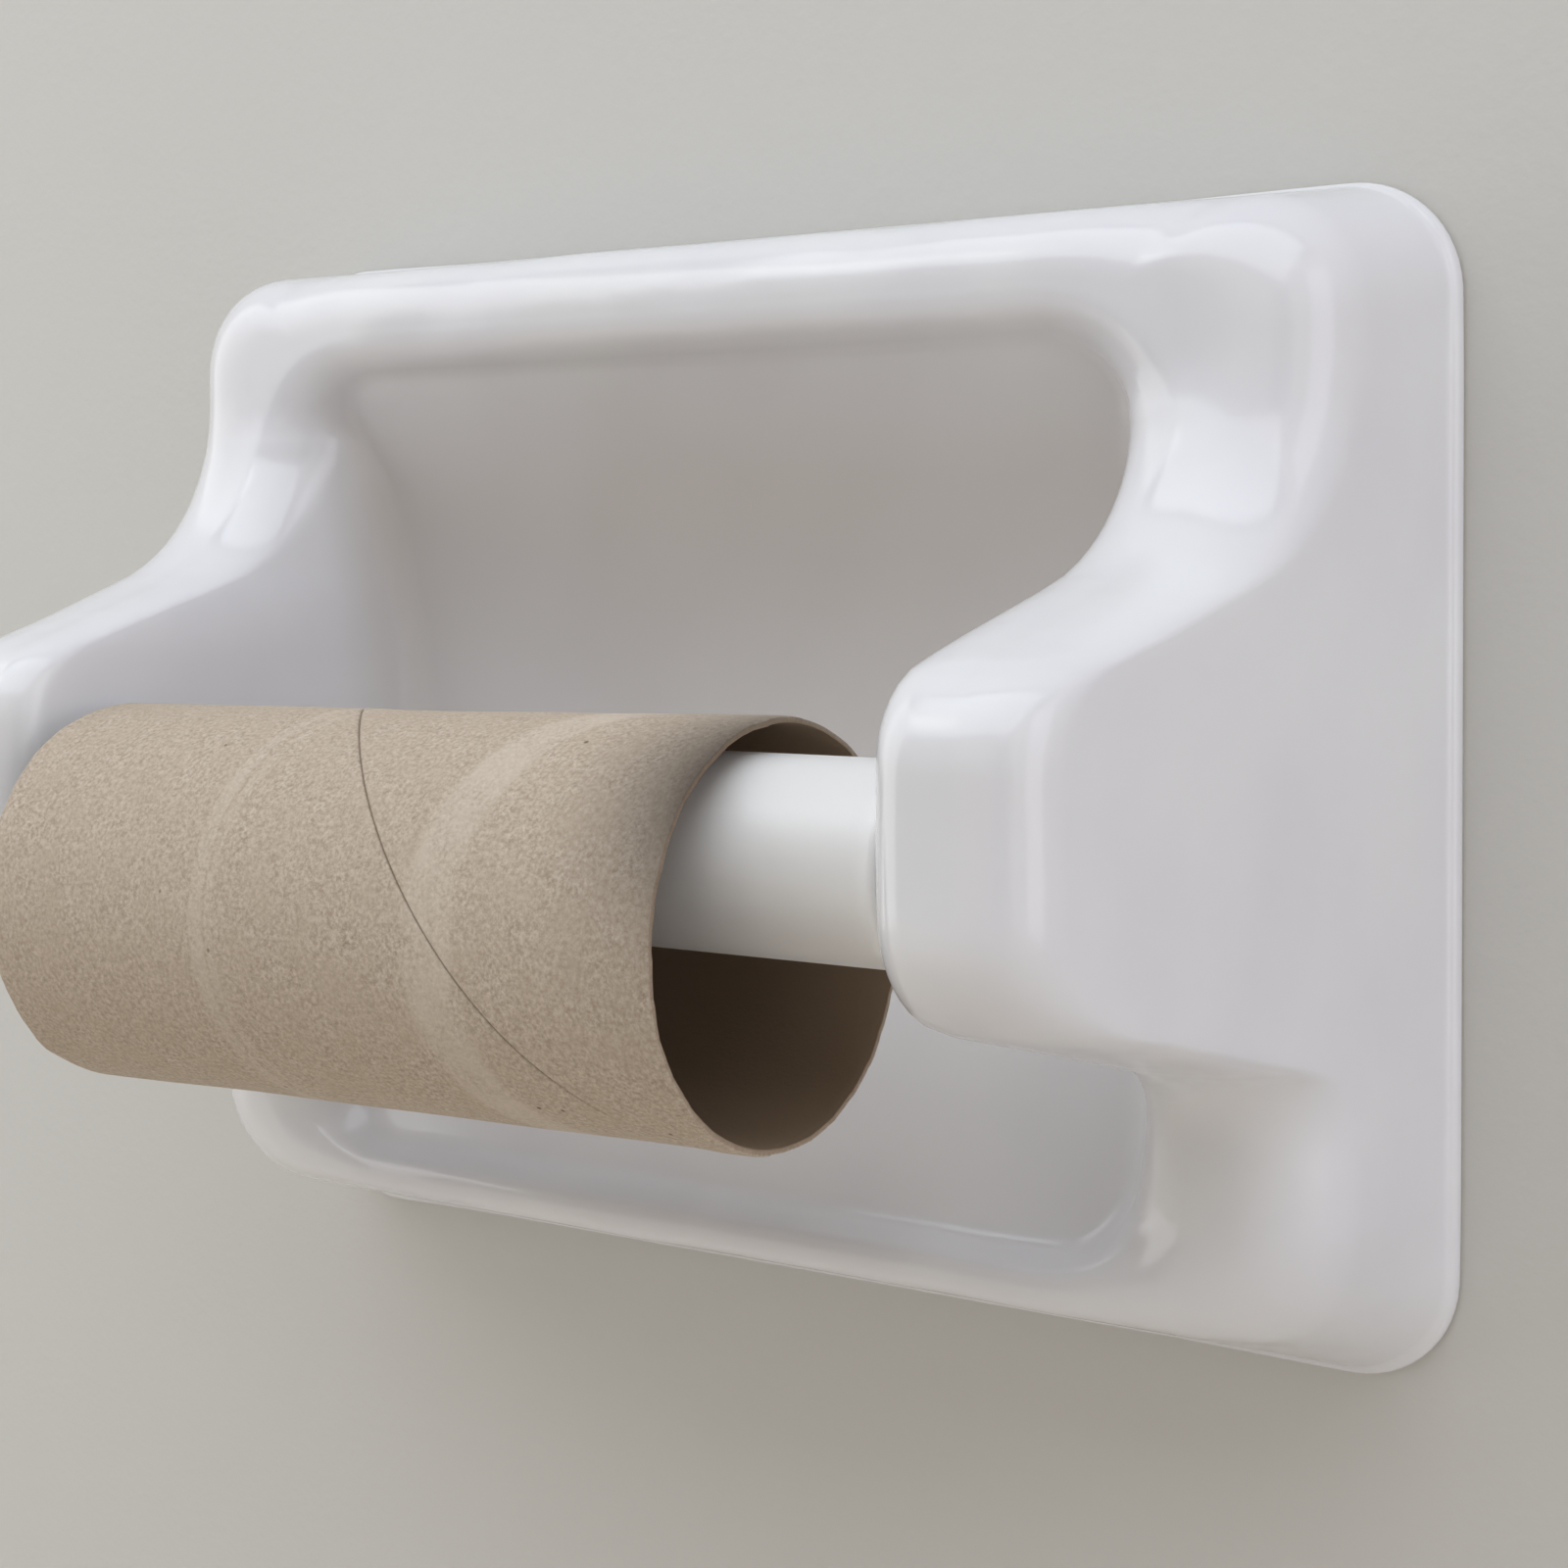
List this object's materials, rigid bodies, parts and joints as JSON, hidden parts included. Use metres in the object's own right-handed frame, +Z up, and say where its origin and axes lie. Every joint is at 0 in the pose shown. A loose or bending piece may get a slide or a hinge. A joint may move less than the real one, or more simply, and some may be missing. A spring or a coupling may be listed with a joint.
{
  "type": "toilet paper holder",
  "caption": "Wall-hung glazed china toilet paper holder with a curved recess, two ears, a sprung telescoping roller and an empty cardboard core.",
  "frame": {"origin": "centre of the wall clip's back face, on the wall plane, which is also the centre of the china plate", "axes": "+X to the right for someone facing the wall and along the roller, +Y into the wall, +Z up"},
  "size_m": [0.172, 0.1137, 0.13],
  "materials": {
    "china": "glossy white glaze",
    "roller_plastic": "smooth moulded white",
    "spring_steel": "drawn wire",
    "clip_steel": "zinc plated",
    "screw_steel": "zinc plated",
    "plug_plastic": "moulded nylon",
    "cardboard": "spiral-wound kraft board"
  },
  "bodies": {
    "holder": {"ceramic_body": "china", "wall_clip": "clip_steel", "clip_screw_upper": "screw_steel", "clip_screw_lower": "screw_steel", "wall_anchor_upper": "plug_plastic", "wall_anchor_lower": "plug_plastic"},
    "roller_outer": {"roller_outer_sleeve": "roller_plastic", "roller_spring": "spring_steel"},
    "roller_inner": {"roller_inner_sleeve": "roller_plastic"},
    "core": {"cardboard_core": "cardboard"}
  },
  "joints": [
    {"name": "roller_spin", "type": "hinge", "parent": "holder", "child": "roller_outer", "pos_m": [0, -0.0597, -0.0028], "axis": [1, 0, 0], "continuous": true},
    {"name": "roller_compress", "type": "slide", "parent": "roller_outer", "child": "roller_inner", "axis": [-1, 0, 0], "range_m": [0, 0.009], "stiffness_N_per_m": 200, "springref_m": -0.03, "deforming": ["roller_spring"]},
    {"name": "core_spin", "type": "hinge", "parent": "holder", "child": "core", "pos_m": [-0.0086, -0.0597, -0.01177], "axis": [0.9993, 0.0349, 0.0122], "continuous": true}
  ]
}
